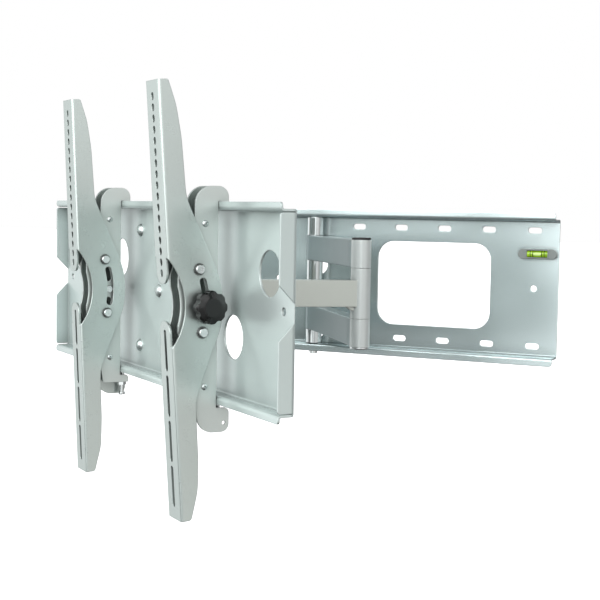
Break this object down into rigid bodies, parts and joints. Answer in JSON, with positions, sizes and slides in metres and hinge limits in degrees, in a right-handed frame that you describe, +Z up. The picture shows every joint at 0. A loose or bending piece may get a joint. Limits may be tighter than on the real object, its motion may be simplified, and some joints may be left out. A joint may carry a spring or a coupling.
{
  "type": "full motion tv wall mount",
  "caption": "Wall channel with a folding twin-link arm, swivelling TV plate and two hook-on tilt brackets with clamp knobs.",
  "frame": {"origin": "the wall channel's back face at mid height, on the line behind the post", "axes": "+X along the wall to the right, +Y into the wall, +Z up"},
  "size_m": [0.7073, 0.6084, 0.4774],
  "materials": {
    "silver_paint": "satin metallic silver powder coat",
    "chrome": "bright chrome plate",
    "zinc_steel": "bright zinc plate",
    "black_plastic": "satin moulded",
    "grey_plastic": "satin",
    "green_vial": "clear green liquid in acrylic",
    "nylon": "moulded",
    "brass_insert": "turned"
  },
  "bodies": {
    "wall": {"wall_plate": "silver_paint", "level_body": "grey_plastic", "level_vial": "green_vial", "post_pin": "zinc_steel", "post_nut": "zinc_steel", "post_sleeve_top": "chrome", "post_sleeve_middle": "chrome", "post_sleeve_bottom": "chrome", "post_washers": "chrome"},
    "inner_arm": {"inner_arm_upper": "silver_paint", "inner_arm_lower": "silver_paint", "post_bushes": "nylon", "elbow_pin": "zinc_steel", "elbow_cap_top": "black_plastic", "elbow_cap_bottom": "zinc_steel"},
    "outer_arm": {"outer_arm": "silver_paint", "elbow_bushes": "nylon", "head_bushes": "nylon"},
    "head": {"head_yoke": "silver_paint", "head_pin": "zinc_steel", "head_pin_nut": "zinc_steel", "tv_plate": "silver_paint", "carriage_bolts": "zinc_steel", "carriage_nuts": "zinc_steel"},
    "hook_right": {"hook_channel_right": "silver_paint", "clamp_stud_right": "zinc_steel", "cheek_rivets_right": "zinc_steel", "lock_nut_right": "zinc_steel"},
    "bracket_right": {"tilt_bracket_right": "silver_paint", "guide_bolts_right": "zinc_steel", "toothed_washers_right": "zinc_steel", "guide_nuts_right": "zinc_steel"},
    "knob_right": {"knob_right": "black_plastic", "knob_insert_right": "brass_insert", "knob_washer_right": "zinc_steel"},
    "lock_screw_right": {"lock_screw_right": "zinc_steel"},
    "hook_left": {"hook_channel_left": "silver_paint", "clamp_stud_left": "zinc_steel", "cheek_rivets_left": "zinc_steel", "lock_nut_left": "zinc_steel"},
    "bracket_left": {"tilt_bracket_left": "silver_paint", "guide_bolts_left": "zinc_steel", "toothed_washers_left": "zinc_steel", "guide_nuts_left": "zinc_steel"},
    "knob_left": {"knob_left": "black_plastic", "knob_insert_left": "brass_insert", "knob_washer_left": "zinc_steel"},
    "lock_screw_left": {"lock_screw_left": "zinc_steel"}
  },
  "joints": [
    {"name": "wall_pivot", "type": "hinge", "parent": "wall", "child": "inner_arm", "pos_m": [0, -0.0155, 0], "axis": [0, 0, 1], "range_deg": [-18, 47]},
    {"name": "elbow", "type": "hinge", "parent": "inner_arm", "child": "outer_arm", "pos_m": [0.15944, -0.21451, 0], "axis": [0, 0, -1], "range_deg": [-91, 13]},
    {"name": "head_swivel", "type": "hinge", "parent": "outer_arm", "child": "head", "pos_m": [-0.01795, -0.34964, 0], "axis": [0, 0, 1], "range_deg": [-22, 45]},
    {"name": "rail_slide_right", "type": "slide", "parent": "head", "child": "hook_right", "axis": [0.809, -0.5878, 0], "range_m": [-0.12, 0.135]},
    {"name": "tilt_right", "type": "hinge", "parent": "hook_right", "child": "bracket_right", "pos_m": [0.04349, -0.60788, -0.0026], "axis": [0.809, -0.5878, 0], "range_deg": [-15.3, 7.7]},
    {"name": "knob_turn_right", "type": "hinge", "parent": "hook_right", "child": "knob_right", "pos_m": [0.12596, -0.54542, -0.0026], "axis": [0.809, -0.5878, 0], "continuous": true},
    {"name": "lock_screw_travel_right", "type": "slide", "parent": "hook_right", "child": "lock_screw_right", "axis": [0, 0, -1], "range_m": [0, 0.008]},
    {"name": "rail_slide_left", "type": "slide", "parent": "head", "child": "hook_left", "axis": [0.809, -0.5878, 0], "range_m": [-0.235, 0.12]},
    {"name": "tilt_left", "type": "hinge", "parent": "hook_left", "child": "bracket_left", "pos_m": [-0.20042, -0.43067, -0.0026], "axis": [0.809, -0.5878, 0], "range_deg": [-14.1, 8.9]},
    {"name": "knob_turn_left", "type": "hinge", "parent": "hook_left", "child": "knob_left", "pos_m": [-0.1665, -0.33294, -0.0026], "axis": [-0.809, 0.5878, 0], "continuous": true},
    {"name": "lock_screw_travel_left", "type": "slide", "parent": "hook_left", "child": "lock_screw_left", "axis": [0, 0, -1], "range_m": [0, 0.008]}
  ]
}
